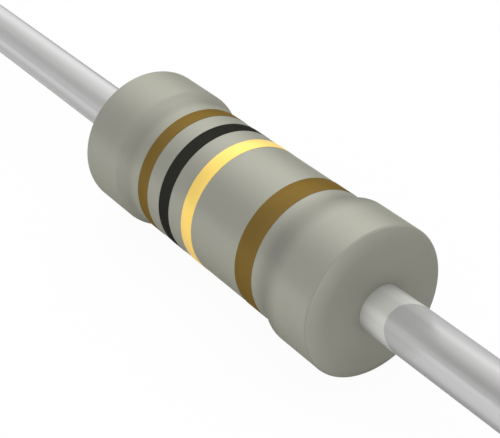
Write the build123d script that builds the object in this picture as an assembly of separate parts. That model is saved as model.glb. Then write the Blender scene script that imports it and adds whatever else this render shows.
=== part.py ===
# Axial metal film resistor, lying along X: a ceramic rod with a metal film on it, a pressed cap
# and a welded lead at each end, and a lacquer coat with painted colour bands around the whole.
# Millimetres, +Z up. The origin is the centre of the body, and +X points out of the right end.

from build123d import *
import os

# Ceramic rod
rod_diameter = 1.75
rod_length = 5.61
rod_chamfer = 0.06

# Metal film on the rod, far thinner on a real one
film_thickness = 0.03

# Helical trim cut through the film
trim_width = 0.12
trim_pitch = 1.0
trim_turns = 3.0
cutter_overshoot = 0.04

# End caps, drawn from sheet and pressed over the film
cap_wall = 0.18
cap_length = 0.80
cap_edge_chamfer = 0.12

# Leads, butt-welded to the caps: a flared weld foot, then the neck that the jaws held, then wire
lead_diameter = 0.79
lead_length = 28.0
lead_end_chamfer = 0.04
neck_diameter = 0.78
neck_length = 0.50
neck_step = 0.01
foot_diameter = 1.10
foot_rim = 0.03
foot_length = 0.17

# Lacquer coat over all but the leads
barrel_coat = 0.231
cap_coat = 0.154
rim_coat = 0.135
shoulder_length = 0.141
end_coat = 0.298
end_dome_height = 0.18
end_edge_radius = 0.07

# Colour bands painted on the lacquer: widths, and the bare gap before each one, counted from
# the barrel's left shoulder for the first three and from its right shoulder for the last
band_thickness = 0.02
digit_band_width = 0.290
multiplier_band_width = 0.290
tolerance_band_width = 0.432
first_band_gap = 0.476
second_band_gap = 0.353
multiplier_band_gap = 0.374
tolerance_band_gap = 0.389

# Radii that follow
rod_radius = rod_diameter / 2
film_radius = rod_radius + film_thickness
cap_radius = film_radius + cap_wall
barrel_radius = film_radius + barrel_coat
bulge_radius = cap_radius + cap_coat
lead_radius = lead_diameter / 2
neck_radius = neck_diameter / 2
foot_radius = foot_diameter / 2

# Places along X that follow, on the right half
rod_end = rod_length / 2
cap_face = rod_end + cap_wall
cap_rim = cap_face - cap_length
shoulder = cap_rim - rim_coat
body_end = cap_face + end_coat
neck_end = body_end + neck_length
lead_end = body_end + lead_length


def bar(radius, start, end):
    """A plain round bar along X."""
    return Pos((start + end) / 2) * Rot(0, 90, 0) * Cylinder(radius, end - start)


def ring(bore_radius, wall, start, end):
    """A plain tube along X."""
    section = Pos((start + end) / 2, bore_radius + wall / 2) * Rectangle(end - start, wall)
    return revolve(section, Axis.X)


def last_round_edge(solid):
    """The full circle that lies furthest along X."""
    return solid.edges().filter_by(lambda edge: edge.is_closed).sort_by(Axis.X)[-1]


def trim_cut():
    """The helical trim cut as a solid that overshoots the film, inwards and outwards."""
    depth = film_thickness + 2 * cutter_overshoot
    height = trim_pitch * trim_turns
    path = Helix(trim_pitch, height, rod_radius + film_thickness / 2,
                 center=(-height / 2, 0, 0), direction=(1, 0, 0))
    start = path @ 0
    outwards = Vector(0, start.Y, start.Z)
    section = Plane(start, x_dir=outwards, z_dir=path % 0) * Rectangle(depth, trim_width)
    return sweep(section, path=path, is_frenet=True)


def ceramic_rod():
    """The ground rod, with chamfered ends."""
    blank = bar(rod_radius, -rod_end, rod_end)
    return chamfer(blank.edges().filter_by(GeomType.CIRCLE), rod_chamfer)


def film_blank():
    """The film before trimming, over the whole round of the rod."""
    return ring(rod_radius, film_thickness, rod_chamfer - rod_end, rod_end - rod_chamfer)


def cap_blank():
    """The right cap's outside, with its drawn edge."""
    blank = bar(cap_radius, cap_rim, cap_face)
    return chamfer(last_round_edge(blank), cap_edge_chamfer)


def end_cap():
    """The right cap, a drawn cup that grips the film and bottoms on the rod's end."""
    return cap_blank() - bar(film_radius, cap_rim, rod_end)


def lead_wire():
    """The right lead in one piece: weld foot, neck, wire and cut end."""
    outline = Polyline(
        (cap_face, 0),
        (cap_face, foot_radius),
        (cap_face + foot_rim, foot_radius),
        (cap_face + foot_length, neck_radius),
        (neck_end - neck_step, neck_radius),
        (neck_end, lead_radius),
        (lead_end - lead_end_chamfer, lead_radius),
        (lead_end, lead_radius - lead_end_chamfer),
        (lead_end, 0),
        close=True,
    )
    return revolve(make_face(outline), Axis.X)


def coat_half():
    """The right half of the lacquer's outside: barrel, shoulder, cap bulge and domed end."""
    bulge_start = (shoulder + shoulder_length, bulge_radius)
    bulge_end = (body_end - end_dome_height, bulge_radius)
    barrel = Polyline((body_end, 0), (0, 0), (0, barrel_radius), (shoulder, barrel_radius))
    rim_round = TangentArc(bulge_start, (shoulder, barrel_radius), tangent=(-1, 0))
    bulge = Line(bulge_start, bulge_end)
    dome = TangentArc((body_end, 0), bulge_end, tangent=(0, 1))
    half_outline = make_face(barrel + rim_round + bulge + dome)
    end_corner = half_outline.vertices().sort_by_distance(bulge_end)[0]
    return revolve(fillet(end_corner, end_edge_radius), Axis.X)


def coating(cut, caps, leads):
    """The lacquer, cast around the film, the caps and the leads, with a rib in the trim cut."""
    half = coat_half()
    coat = half + mirror(half, Plane.YZ) - bar(film_radius, -rod_end, rod_end)
    for buried in caps + leads:
        coat -= buried
    return coat + (film_blank() & cut)


def colour_bands():
    """The four painted bands, as rings that sit on the barrel."""
    first = first_band_gap - shoulder
    second = first + digit_band_width + second_band_gap
    multiplier = second + digit_band_width + multiplier_band_gap
    tolerance = shoulder - tolerance_band_gap - tolerance_band_width
    spans = {
        "first_band_brown": (first, digit_band_width),
        "second_band_black": (second, digit_band_width),
        "multiplier_band_gold": (multiplier, multiplier_band_width),
        "tolerance_band_brown": (tolerance, tolerance_band_width),
    }
    return {name: ring(barrel_radius, band_thickness, start, start + width)
            for name, (start, width) in spans.items()}


def left_of(right):
    """The left-hand twin of a right-hand piece."""
    return mirror(right, Plane.YZ)


cut = trim_cut()
cap = end_cap()
lead = lead_wire()
buried_cap = cap_blank()
pieces = {
    "ceramic_rod": ceramic_rod(),
    "metal_film": film_blank() - cut,
    "end_cap_right": cap,
    "end_cap_left": left_of(cap),
    "lead_wire_right": lead,
    "lead_wire_left": left_of(lead),
    "coating": coating(cut, [buried_cap, left_of(buried_cap)], [lead, left_of(lead)]),
    **colour_bands(),
}

os.makedirs("parts", exist_ok=True)
for name, piece in pieces.items():
    export_step(piece, f"parts/{name}.step")
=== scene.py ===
# Axial metal film resistor on a white studio floor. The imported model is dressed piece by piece, in
# the order of its making: rod, film, caps, wires, lacquer and bands, then floor, light and camera.
import math
import bmesh
import bpy
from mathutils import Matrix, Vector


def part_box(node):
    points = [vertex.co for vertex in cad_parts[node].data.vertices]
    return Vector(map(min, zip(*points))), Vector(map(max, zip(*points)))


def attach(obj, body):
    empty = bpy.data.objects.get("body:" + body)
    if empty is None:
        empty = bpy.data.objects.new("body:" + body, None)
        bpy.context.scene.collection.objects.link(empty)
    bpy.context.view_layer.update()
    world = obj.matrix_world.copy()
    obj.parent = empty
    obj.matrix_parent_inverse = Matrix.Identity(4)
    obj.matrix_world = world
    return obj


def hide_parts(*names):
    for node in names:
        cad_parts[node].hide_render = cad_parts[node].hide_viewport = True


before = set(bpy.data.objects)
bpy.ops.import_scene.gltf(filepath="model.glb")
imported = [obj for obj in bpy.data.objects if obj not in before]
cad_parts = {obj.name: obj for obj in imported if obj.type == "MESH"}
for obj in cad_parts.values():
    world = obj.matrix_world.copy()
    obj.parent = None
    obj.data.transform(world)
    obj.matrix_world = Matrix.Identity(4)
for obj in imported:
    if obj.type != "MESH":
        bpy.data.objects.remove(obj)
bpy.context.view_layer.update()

# Ceramic rod: the core that carries everything, extruded alumina, fired and ground to size.
# It is off-white and dry, with a fine grain and a few darker specks.

MM = 0.001
alumina_grain = 0.06


class Signal:
    """The output of a node. Arithmetic on it adds Math nodes to the same tree."""

    def __init__(self, shader, socket):
        self.shader = shader
        self.socket = socket

    def math(self, operation, *values):
        """A Math node on values, which may be signals or numbers."""
        settings = {"operation": operation}
        return self.shader.node("ShaderNodeMath", settings, dict(enumerate(values)))

    def __add__(self, other):
        return self.math("ADD", self, other)

    def __sub__(self, other):
        return self.math("SUBTRACT", self, other)

    def __rsub__(self, other):
        return self.math("SUBTRACT", other, self)

    def __mul__(self, other):
        return self.math("MULTIPLY", self, other)

    __radd__ = __add__
    __rmul__ = __mul__

    def size(self):
        """The value without its sign."""
        return self.math("ABSOLUTE", self)

    def between(self, low, high):
        """A level that goes from low to high as this one goes from 0 to 1."""
        return self * (high - low) + low


class Shader:
    """A node tree that grows one node at a time."""

    def __init__(self, tree):
        self.tree = tree
        tree.nodes.clear()

    def node(self, kind, settings=None, inputs=None, output=0):
        """Adds a node, sets its settings and then its sockets, and gives one of its outputs."""
        node = self.tree.nodes.new(kind)
        for name, value in (settings or {}).items():
            if name == "stops":
                self.set_stops(node.color_ramp, value)
            else:
                setattr(node, name, value)
        for name, value in (inputs or {}).items():
            if isinstance(value, Signal):
                self.tree.links.new(value.socket, node.inputs[name])
            else:
                node.inputs[name].default_value = value
        return Signal(self, node.outputs[output]) if len(node.outputs) else None

    def step(self, value, low, high):
        """0 below low, 1 above high and a soft step between them."""
        bounds = {"Value": value, "From Min": low, "From Max": high}
        return self.node("ShaderNodeMapRange", {"interpolation_type": "SMOOTHSTEP"}, bounds)

    @staticmethod
    def set_stops(ramp, stops):
        """Gives a colour ramp a grey level at each place from 0 to 1."""
        while len(ramp.elements) < len(stops):
            ramp.elements.new(1.0)
        for element, (place, level) in zip(ramp.elements, stops):
            element.position = place
            element.color = (level, level, level, 1.0)


class Finish(Shader):
    """A material whose patterns follow Object coordinates."""

    def __init__(self, name):
        self.material = bpy.data.materials.new(name)
        self.material.use_nodes = True
        super().__init__(self.material.node_tree)
        self.place = self.node("ShaderNodeTexCoord", output="Object")

    def axis(self, name):
        """The place along one axis, in millimetres."""
        return self.node("ShaderNodeSeparateXYZ", {}, {"Vector": self.place}, name) * (1 / MM)

    def along(self):
        """The distance from the middle of the body, along the wires, in millimetres."""
        return self.axis("X").size()

    def grain(self, size, stretch=1.0, detail=2.0, shift=0.0, turn=0.0):
        """Noise from 0 to 1, in blotches of a size in millimetres that stretch draws out along X.

        The pattern may be shifted along X by millimetres and turned about X by degrees.
        """
        squeeze = {"Scale": (1.0 / stretch, 1.0, 1.0), "Rotation": (math.radians(turn), 0, 0),
                   "Location": (shift * MM, 0, 0), "Vector": self.place}
        place = self.node("ShaderNodeMapping", {}, squeeze)
        noise = {"Vector": place, "Scale": 1.0 / (size * MM), "Detail": detail}
        return self.node("ShaderNodeTexNoise", {}, noise, "Fac")

    def blend(self, factor, first, second):
        """The first colour where factor is 0, the second where it is 1."""
        # A Mix node takes its colours by sockets 6 and 7, and gives the mixed one by output 2.
        colours = {0: factor, 6: first, 7: second}
        return self.node("ShaderNodeMix", {"data_type": "RGBA"}, colours, output=2)

    def relief(self, height, depth):
        """A bumped normal from a height signal, with a depth in millimetres."""
        return self.node("ShaderNodeBump", {}, {"Height": height, "Distance": depth * MM})

    def surface(self, **sockets):
        """Ends the tree in a Principled surface, and gives the material."""
        inputs = {name.replace("_", " "): value for name, value in sockets.items()}
        shaded = self.node("ShaderNodeBsdfPrincipled", {}, inputs)
        self.node("ShaderNodeOutputMaterial", {}, {"Surface": shaded})
        return self.material


def rgb(red, green, blue):
    """A shader colour from screen values of 0 to 255."""
    return (*(((value / 255 + 0.055) / 1.055) ** 2.4 for value in (red, green, blue)), 1.0)


def dress(node, material):
    """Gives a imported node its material."""
    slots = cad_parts[node].data.materials
    slots.clear()
    slots.append(material)


def fired_alumina():
    finish = Finish("fired_alumina")
    grain = finish.grain(alumina_grain, detail=4.0)
    specks = finish.step(finish.grain(size=0.035), low=0.68, high=0.74)
    fired = finish.blend(grain, rgb(222, 217, 205), rgb(240, 237, 229))
    speck = rgb(176, 166, 148)
    colour = finish.blend(specks, fired, speck)
    return finish.surface(Base_Color=colour, Roughness=grain.between(0.6, 0.8),
                          Normal=finish.relief(grain, depth=0.002))


dress("ceramic_rod", fired_alumina())

# Metal film: nickel-chromium, laid on the rod in a vacuum and then cut along a helix to set its
# resistance. It is thin enough to follow the ceramic's grain, and slightly blue-grey.


def vacuum_film():
    finish = Finish("vacuum_film")
    grain = finish.grain(alumina_grain, detail=4.0)
    cloud = finish.grain(size=0.7)
    colour = finish.blend(cloud, rgb(120, 122, 130), rgb(146, 145, 147))
    return finish.surface(Base_Color=colour, Metallic=1.0, Roughness=grain.between(0.32, 0.48),
                          Normal=finish.relief(grain, depth=0.001))


dress("metal_film", vacuum_film())

# End caps: cups drawn from thin tinned steel sheet and pressed over the film's ends. Their edge is
# round where the sheet went over the punch, and drawing left fine lines along the wall.

rod_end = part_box("ceramic_rod")[1].x / MM
film_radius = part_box("metal_film")[1].z / MM
cap_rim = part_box("end_cap_right")[0].x / MM
cap_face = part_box("end_cap_right")[1].x / MM
cap_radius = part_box("end_cap_right")[1].z / MM
cap_press_radius = 0.12
cap_lip_radius = 0.03
cap_steps = 128
merge_reach = 0.0001
crease_angle = 40


class Outline:
    """Half a section in the XZ plane, drawn point by point in millimetres and spun about X."""

    def __init__(self, x, radius):
        self.bm = bmesh.new()
        self.start = self.tip = self.bm.verts.new((x, 0, radius))
        self.corners = []

    def line(self, x, radius, rounding=0.0, steps=5):
        """A line to a point, whose corner is rounded once the outline is whole."""
        self.tip = bmesh.ops.extrude_vert_indiv(self.bm, verts=[self.tip])["verts"][0]
        self.tip.co = (x, 0, radius)
        if rounding:
            self.corners.append((self.tip, rounding, steps))

    def arc(self, x, radius, turn, steps):
        """An arc about a centre by a turn in radians, clockwise where X runs right and Z up."""
        swept = bmesh.ops.spin(self.bm, geom=[self.tip], cent=(x, 0, radius), axis=(0, 1, 0),
                               angle=turn, steps=steps)
        self.tip = swept["geom_last"][0]

    def close(self):
        """Joins the last point to the first one."""
        self.bm.edges.new((self.tip, self.start))

    def spin(self, steps):
        """Rounds the corners, spins the outline into a closed skin and gives the bmesh."""
        for corner, rounding, segments in self.corners:
            bmesh.ops.bevel(self.bm, geom=[corner], offset=rounding, offset_type="OFFSET",
                            segments=segments, profile=0.5, affect="VERTICES", material=-1)
        bmesh.ops.spin(self.bm, geom=self.bm.verts[:] + self.bm.edges[:], cent=(0, 0, 0),
                       axis=(1, 0, 0), angle=math.tau, steps=steps, use_merge=True)
        bmesh.ops.remove_doubles(self.bm, verts=self.bm.verts, dist=merge_reach)
        bmesh.ops.recalc_face_normals(self.bm, faces=self.bm.faces)
        return self.bm


def piece(bm, name, material, slot, *nodes):
    """Makes a piece of a bmesh in millimetres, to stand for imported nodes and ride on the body."""
    bmesh.ops.scale(bm, vec=(MM, MM, MM), verts=bm.verts)
    mesh = bpy.data.meshes.new(name)
    bm.to_mesh(mesh)
    bm.free()
    mesh.shade_smooth()
    mesh.set_sharp_from_angle(angle=math.radians(crease_angle))
    mesh.materials.append(material)
    made = bpy.data.objects.new(name, mesh)
    bpy.context.scene.collection.objects.link(made)
    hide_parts(*nodes)
    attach(made, "root")
    return made


def to_the_left(bm):
    """Turns a right-hand piece into its left-hand twin."""
    bmesh.ops.scale(bm, vec=(-1, 1, 1), verts=bm.verts)
    bmesh.ops.reverse_faces(bm, faces=bm.faces)
    return bm


def drawn_steel():
    finish = Finish("drawn_steel")
    lines = finish.grain(size=0.02, stretch=12)
    cloud = finish.grain(size=0.4)
    colour = finish.blend(cloud, rgb(168, 168, 166), rgb(192, 191, 187))
    return finish.surface(Base_Color=colour, Metallic=1.0, Roughness=lines.between(0.24, 0.42),
                          Normal=finish.relief(lines, depth=0.001))


def pressed_cap():
    cup = Outline(cap_face, 0)
    cup.line(cap_face, cap_radius, cap_press_radius)
    cup.line(cap_rim, cap_radius, cap_lip_radius)
    cup.line(cap_rim, film_radius, cap_lip_radius)
    cup.line(rod_end, film_radius)
    cup.line(rod_end, 0)
    return cup.spin(cap_steps)


steel = drawn_steel()
piece(pressed_cap(), "pressed_cap_right", steel, "cap_steel", "end_cap_right")
piece(to_the_left(pressed_cap()), "pressed_cap_left", steel, "cap_steel", "end_cap_left")

# Wires: soft copper wire, tin plated and drawn through a die, which left long streaks, and then
# butt-welded to the caps. The streaks also carry a painted reflection, darker over one side. The
# weld flares into a foot, and the jaws that held the wire left a matt neck, which runs on a little
# between them; painted shade darkens the neck towards the body. The far ends were sheared and show
# bare copper.

wire_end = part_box("lead_wire_right")[1].x / MM
foot_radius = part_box("lead_wire_right")[1].y / MM
foot_rim = 0.03
foot_length = 0.17
wire_radius = 0.395
neck_radius = 0.39
neck_end = 3.783
neck_step = 0.01
cut_rounding = 0.035
cut_smear = 0.006
wire_steps = 96
mark_under_jaws = 3.76
mark_between_jaws = 4.016
mark_edge = 0.012
# Where the neck's painted shade begins to lighten, in millimetres from the middle.
painted_shade_start = 3.22
relief_depth = 0.0006
line_depth = 0.4


def tinned_copper():
    finish = Finish("tinned_copper")
    along = finish.along()
    # The jaws met across a diagonal: under_jaws is 1 where they pressed and 0 between them.
    across = (finish.axis("Z") - finish.axis("Y")).size()
    under_jaws = across * (1 / (math.sqrt(2) * neck_radius))
    to_mark = along + under_jaws * (mark_between_jaws - mark_under_jaws)
    wire = finish.step(to_mark, mark_between_jaws - mark_edge, mark_between_jaws + mark_edge)
    neck = 1 - wire
    # Die streaks and painted reflection: the streak pattern is turned and shifted so one side of the
    # wire is darker.
    die_marks_and_reflection = finish.grain(size=0.26, stretch=60, detail=1.5, shift=7.4, turn=-60)
    streaks_and_reflection = finish.step(die_marks_and_reflection, low=0.3, high=0.7)
    lines = finish.grain(size=0.012, stretch=90)
    scuffs = finish.grain(size=0.05, stretch=12)
    drawn_and_reflected = finish.blend(streaks_and_reflection, rgb(172, 172, 171), rgb(203, 203, 203))
    # Painted shade: the neck runs from a darker colour at the body to a lighter one at its end.
    shaded_neck = finish.blend(streaks_and_reflection, rgb(151, 151, 148), rgb(165, 165, 162))
    rubbed = finish.blend(streaks_and_reflection, rgb(188, 188, 184), rgb(219, 219, 215))
    clear_of_painted_shade = finish.step(to_mark, painted_shade_start, mark_between_jaws)
    neck_with_painted_shade = finish.blend(clear_of_painted_shade, shaded_neck, rubbed)
    plated = finish.blend(wire, neck_with_painted_shade, drawn_and_reflected)
    copper = rgb(188, 126, 98)
    cut = finish.step(along, wire_end - cut_smear, wire_end)
    colour = finish.blend(cut, plated, copper)
    rough = wire * lines.between(0.1, 0.3) + neck * scuffs.between(0.4, 0.52)
    height = wire * lines * line_depth + neck * scuffs
    return finish.surface(Base_Color=colour, Metallic=wire.between(0.2, 0.3), Roughness=rough,
                          Specular_IOR_Level=0.0, Specular_Tint=rgb(140, 140, 140),
                          Normal=finish.relief(height, relief_depth))


def welded_wire():
    wire = Outline(cap_face, 0)
    wire.line(cap_face, foot_radius)
    wire.line(cap_face + foot_rim, foot_radius)
    wire.line(cap_face + foot_length, neck_radius)
    wire.line(neck_end - neck_step, neck_radius)
    wire.line(neck_end, wire_radius)
    wire.line(wire_end, wire_radius, cut_rounding)
    wire.line(wire_end, 0)
    return wire.spin(wire_steps)


tin = tinned_copper()
piece(welded_wire(), "tinned_wire_right", tin, "tinned_wire", "lead_wire_right")
piece(to_the_left(welded_wire()), "tinned_wire_left", tin, "tinned_wire", "lead_wire_left")

# Lacquer: a grey epoxy coat, rolled on in several passes and baked. It follows the caps as two
# bulges, is coloured darker in the corners behind them as painted shade, and thins over the domed
# ends, where it dries duller.

bulge_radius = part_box("coating")[1].y / MM
band_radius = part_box("first_band_brown")[1].y / MM
band_thickness = 0.02
barrel_radius = band_radius - band_thickness
shoulder = 2.050
shoulder_length = 0.141
foot_arc_radius = 0.48
body_end = 3.283
end_rounding = 0.02
end_turn = math.radians(40)
rim_rounding = 0.40
rim_turn = math.radians(84)
coat_steps = 224
mirror_reach = 0.001
coat_tint = rgb(160, 160, 152)
coat_roughness = (0.35, 0.41)

# The right shoulder has the wider shading slope and the deeper painted shade in its corner.
slope_start = 1.70
left_slope = {"crest": 1.92, "fall": 1.92, "end": 2.34, "degrees": 4}
right_slope = {"crest": 2.00, "fall": 2.15, "end": 2.48, "degrees": 8}
left_corner_shade = {"start": 1.68, "crest": 1.9, "fall": 1.9, "end": 2.14, "depth": 0.6}
right_corner_shade = {"start": 1.66, "crest": 1.98, "fall": 2.12, "end": 2.44, "depth": 1.0}

# Each bulge turns into its end face at one edge in the shading, about where it gets duller.
end_edge = 3.11
dull_start = 3.07
dull_end = 3.14
dull_roughness = 0.3


def painted_corner_shade(finish, place, start, crest, fall, end, depth):
    """How dark the painted shade in the corner is at a distance from the middle."""
    return finish.step(place, start, crest) * (1 - finish.step(place, fall, end)) * depth


def satin_lacquer():
    finish = Finish("satin_lacquer")
    cloud = finish.grain(size=0.9, detail=3.0)
    peel = finish.grain(size=0.11, detail=1.0)
    to_the_right = finish.axis("X")
    # Painted shade: the lacquer's colour is darker in the corner behind each cap.
    corner_shade_amount = painted_corner_shade(finish, to_the_right, **right_corner_shade) + painted_corner_shade(finish, 0 - to_the_right, **left_corner_shade)
    rolled = finish.blend(cloud, rgb(158, 158, 148), rgb(162, 162, 151))
    corner_shade_colour = rgb(143, 143, 134)
    colour = finish.blend(corner_shade_amount, rolled, corner_shade_colour)
    dull = finish.step(finish.along(), dull_start, dull_end)
    return finish.surface(Base_Color=colour, Metallic=0.38,
                          Roughness=peel.between(*coat_roughness) + dull * dull_roughness,
                          Specular_IOR_Level=0.0, Specular_Tint=coat_tint,
                          Normal=finish.relief(peel, depth=0.0008))


def lacquer_coat():
    """The whole coat: the right half's outside and its bed for the cap and wire, then mirrored."""
    rise = bulge_radius - barrel_radius
    rim_arc_radius = (shoulder_length ** 2 + rise ** 2) / (2 * rise)
    slope_radii = foot_arc_radius + rim_arc_radius
    slope_turn = math.acos(1 - rise / slope_radii)
    slope_end = shoulder + shoulder_length
    foot = slope_end - slope_radii * math.sin(slope_turn)
    end_centre = bulge_radius - end_rounding
    rim_centre = end_centre - (rim_rounding - end_rounding) * math.cos(end_turn)
    dome_radius = rim_rounding + rim_centre / math.cos(rim_turn)
    dome_turn = math.acos(neck_radius / dome_radius)
    dome_place = body_end - dome_radius
    rim_place = dome_place + (dome_radius - rim_rounding) * math.sin(rim_turn)
    end_place = rim_place + (rim_rounding - end_rounding) * math.sin(end_turn)
    coat = Outline(0, barrel_radius)
    coat.line(slope_start, barrel_radius)
    coat.line(foot, barrel_radius)
    coat.arc(foot, barrel_radius + foot_arc_radius, -slope_turn, steps=6)
    coat.arc(slope_end, bulge_radius - rim_arc_radius, slope_turn, steps=8)
    coat.line(left_slope["end"], bulge_radius)
    coat.line(right_slope["end"], bulge_radius)
    coat.line(end_place, bulge_radius)
    coat.arc(end_place, end_centre, end_turn, steps=6)
    coat.arc(rim_place, rim_centre, rim_turn - end_turn, steps=12)
    coat.arc(dome_place, 0, dome_turn - rim_turn, steps=6)
    coat.line(cap_face + foot_length, neck_radius)
    coat.line(cap_face + foot_rim, foot_radius)
    coat.line(cap_face, foot_radius)
    coat.line(cap_face, cap_radius, cap_press_radius)
    coat.line(cap_rim, cap_radius)
    coat.line(cap_rim, film_radius)
    coat.line(0, film_radius)
    half = coat.spin(coat_steps)
    bmesh.ops.mirror(half, geom=half.verts[:] + half.edges[:] + half.faces[:], axis="X",
                     merge_dist=mirror_reach)
    bmesh.ops.recalc_face_normals(half, faces=half.faces)
    return half


def lean(place, crest, fall, end, degrees):
    """How far the shading leans at a distance from the middle: up to the crest, then back."""
    share = min((place - slope_start) / (crest - slope_start), (end - place) / (end - fall), 1)
    return math.radians(degrees * max(share, 0))


def soften_shading(mesh):
    """Shades each shoulder as a slope wider than its step, and each rim as turning at one edge."""
    skin_radius = (cap_radius + barrel_radius) / 2
    shaded = [corner.vector.copy() for corner in mesh.corner_normals]
    for face in mesh.polygons:
        for index in face.loop_indices:
            x, y, z = mesh.vertices[mesh.loops[index].vertex_index].co / MM
            radius = math.hypot(y, z)
            if radius > skin_radius and abs(face.center.x) < end_edge * MM:
                tilt = lean(abs(x), **(right_slope if x > 0 else left_slope))
                around = math.cos(tilt) / radius
                shaded[index] = (-math.copysign(math.sin(tilt), x), y * around, z * around)
    mesh.normals_split_custom_set(shaded)


coat = piece(lacquer_coat(), "lacquer_coat", satin_lacquer(), "grey_lacquer", "coating")
soften_shading(coat.data)

# Colour bands: fields of paint that a wheel rolled round the barrel while it turned. They are
# thin, a little proud of the lacquer, and the gold one has metal powder in it.

band_steps = 224
band_edge = 0.004
band_edge_steps = 3
paint_height = 0.005


def band_paint(name, first, second, metal, gloss=0.0, tint=coat_tint):
    finish = Finish(name)
    cover = finish.grain(size=0.25, detail=3.0)
    peel = finish.grain(size=0.05)
    return finish.surface(Base_Color=finish.blend(cover, first, second), Metallic=metal,
                          Specular_IOR_Level=gloss, Specular_Tint=tint,
                          Roughness=peel.between(*coat_roughness),
                          Normal=finish.relief(peel, depth=0.0006))


def painted_band(node):
    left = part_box(node)[0].x / MM
    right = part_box(node)[1].x / MM
    paint_radius = barrel_radius + paint_height
    band = Outline(left, barrel_radius)
    band.line(left, paint_radius, band_edge, band_edge_steps)
    band.line((left + right) / 2, paint_radius)
    band.line(right, paint_radius, band_edge, band_edge_steps)
    band.line(right, barrel_radius)
    band.close()
    return band.spin(band_steps)


brown = band_paint("brown_paint", rgb(119, 96, 49), rgb(124, 101, 53), metal=0.3)
black = band_paint("black_paint", rgb(41, 41, 38), rgb(45, 45, 41), metal=0.1)
gold = band_paint("gold_paint", rgb(253, 219, 115), rgb(255, 222, 121), metal=0.3, gloss=0.5,
                  tint=rgb(255, 170, 90))
for node, name, paint, slot in [
    ("first_band_brown", "brown_ring_first", brown, "brown_paint"),
    ("second_band_black", "black_ring", black, "black_paint"),
    ("multiplier_band_gold", "gold_ring", gold, "gold_paint"),
    ("tolerance_band_brown", "brown_ring_last", brown, "brown_paint"),
]:
    piece(painted_band(node), name, paint, slot, node)

# Floor: a broad white sheet, which the two bulges touch. It shows white in the picture and in the
# metal, and keeps a faint shadow under the body.

floor_half = 400.0
floor_grey = (0.8, 0.8, 0.8, 1.0)
plain_white = (1.0, 1.0, 1.0, 1.0)
shadow_in_view = 0.04
shadow_in_gloss = 0.39


def white_floor():
    finish = Finish("white_floor")
    camera, gloss, glass = (finish.node("ShaderNodeLightPath", output=f"Is {kind} Ray")
                            for kind in ("Camera", "Glossy", "Transmission"))
    white = camera * (1 - shadow_in_view) + (gloss + glass) * (1 - shadow_in_gloss)
    sheet = finish.node("ShaderNodeBsdfDiffuse", {}, {"Color": floor_grey})
    glow = finish.node("ShaderNodeEmission", {}, {"Color": plain_white, "Strength": 1.0})
    shaded = finish.node("ShaderNodeMixShader", {}, {0: white, 1: sheet, 2: glow})
    finish.node("ShaderNodeOutputMaterial", {}, {"Surface": shaded})
    return finish.material


sheet = bmesh.new()
bmesh.ops.create_grid(sheet, x_segments=1, y_segments=1, size=floor_half * MM)
bmesh.ops.translate(sheet, vec=(0, 0, -bulge_radius * MM), verts=sheet.verts)
floor_mesh = bpy.data.meshes.new("floor")
sheet.to_mesh(floor_mesh)
sheet.free()
floor_mesh.materials.append(white_floor())
floor = bpy.data.objects.new("floor", floor_mesh)
bpy.context.scene.collection.objects.link(floor)

# Light: a soft studio of three arches round the wires, past the far end, beside the body and past
# the near end. A broad panel above and behind lights the first two, and one low in front the last
# two. Each list gives the light at angles from the back, over the top, to the front.

far_arch = [(0, 0.42), (25, 2.13), (45, 2.85), (65, 2.5), (90, 1.59), (115, 0.55), (132, 0.03),
            (142, 0.03), (154, 0.15), (180, 0.03)]
side_arch = [(0, 0.0), (25, 0.73), (45, 1.56), (65, 2.06), (90, 2.18), (115, 2.17), (132, 2.22),
             (152, 2.38), (180, 2.1)]
near_arch = [(0, 0.1), (25, 0.46), (45, 0.52), (65, 0.5), (90, 0.5), (115, 0.58), (132, 0.68),
             (152, 0.9), (180, 1.04)]
panel_grey = (0.8, 0.8, 0.8, 1.0)

# Where one arch fades into the next, by how far a direction points along X.
far_edge = (-0.6, -0.1)
near_edge = (0.2, 0.7)


def arch_light(sky, arch, turn):
    """The light on an arch at a share of its half turn."""
    stops = [(angle / 180, level) for angle, level in arch]
    return sky.node("ShaderNodeValToRGB", {"stops": stops}, {"Fac": turn})


def light_studio(sky):
    """Lights the object by the three arches, and shows the camera plain white behind it."""
    direction = sky.node("ShaderNodeTexCoord", output="Generated")
    x, y, z = (sky.node("ShaderNodeSeparateXYZ", {}, {"Vector": direction}, axis)
               for axis in "XYZ")
    turn = sky.node("ShaderNodeMath", {"operation": "ARCTAN2"}, {0: z, 1: y}) * (1 / math.pi)
    far, side, near = (arch_light(sky, arch, turn) for arch in (far_arch, side_arch, near_arch))
    past_far = sky.step(x, *far_edge)
    past_near = sky.step(x, *near_edge)
    level = far * (1 - past_far) + (side * (1 - past_near) + near * past_near) * past_far
    ray = sky.node("ShaderNodeLightPath", output="Is Camera Ray")
    lit = sky.node("ShaderNodeBackground", {}, {"Color": panel_grey, "Strength": level})
    white = sky.node("ShaderNodeBackground", {}, {"Color": plain_white, "Strength": 1.0})
    mixed = sky.node("ShaderNodeMixShader", {}, {0: ray, 1: lit, 2: white})
    sky.node("ShaderNodeOutputWorld", {}, {"Surface": mixed})


world = bpy.data.worlds.new("studio")
world.use_nodes = True
bpy.context.scene.world = world
light_studio(Shader(world.node_tree))

# Camera: close to the body's near end, looking down and back along the wires, as the photograph
# was taken. Both wires run out of its frame.

camera_place = (15.685, -10.873, 11.330)
camera_down = 30.978
camera_turn = 55.285
camera_lens = 100.37
camera_sensor = 36.0
camera_near = 1.0

lens = bpy.data.cameras.new("camera")
lens.lens = camera_lens
lens.sensor_width = camera_sensor
lens.clip_start = camera_near * MM
camera = bpy.data.objects.new("camera", lens)
camera.location = [value * MM for value in camera_place]
camera.rotation_euler = (math.radians(90 - camera_down), 0, math.radians(camera_turn))
bpy.context.scene.collection.objects.link(camera)
bpy.context.scene.camera = camera
bpy.context.scene.view_settings.view_transform = "Standard"
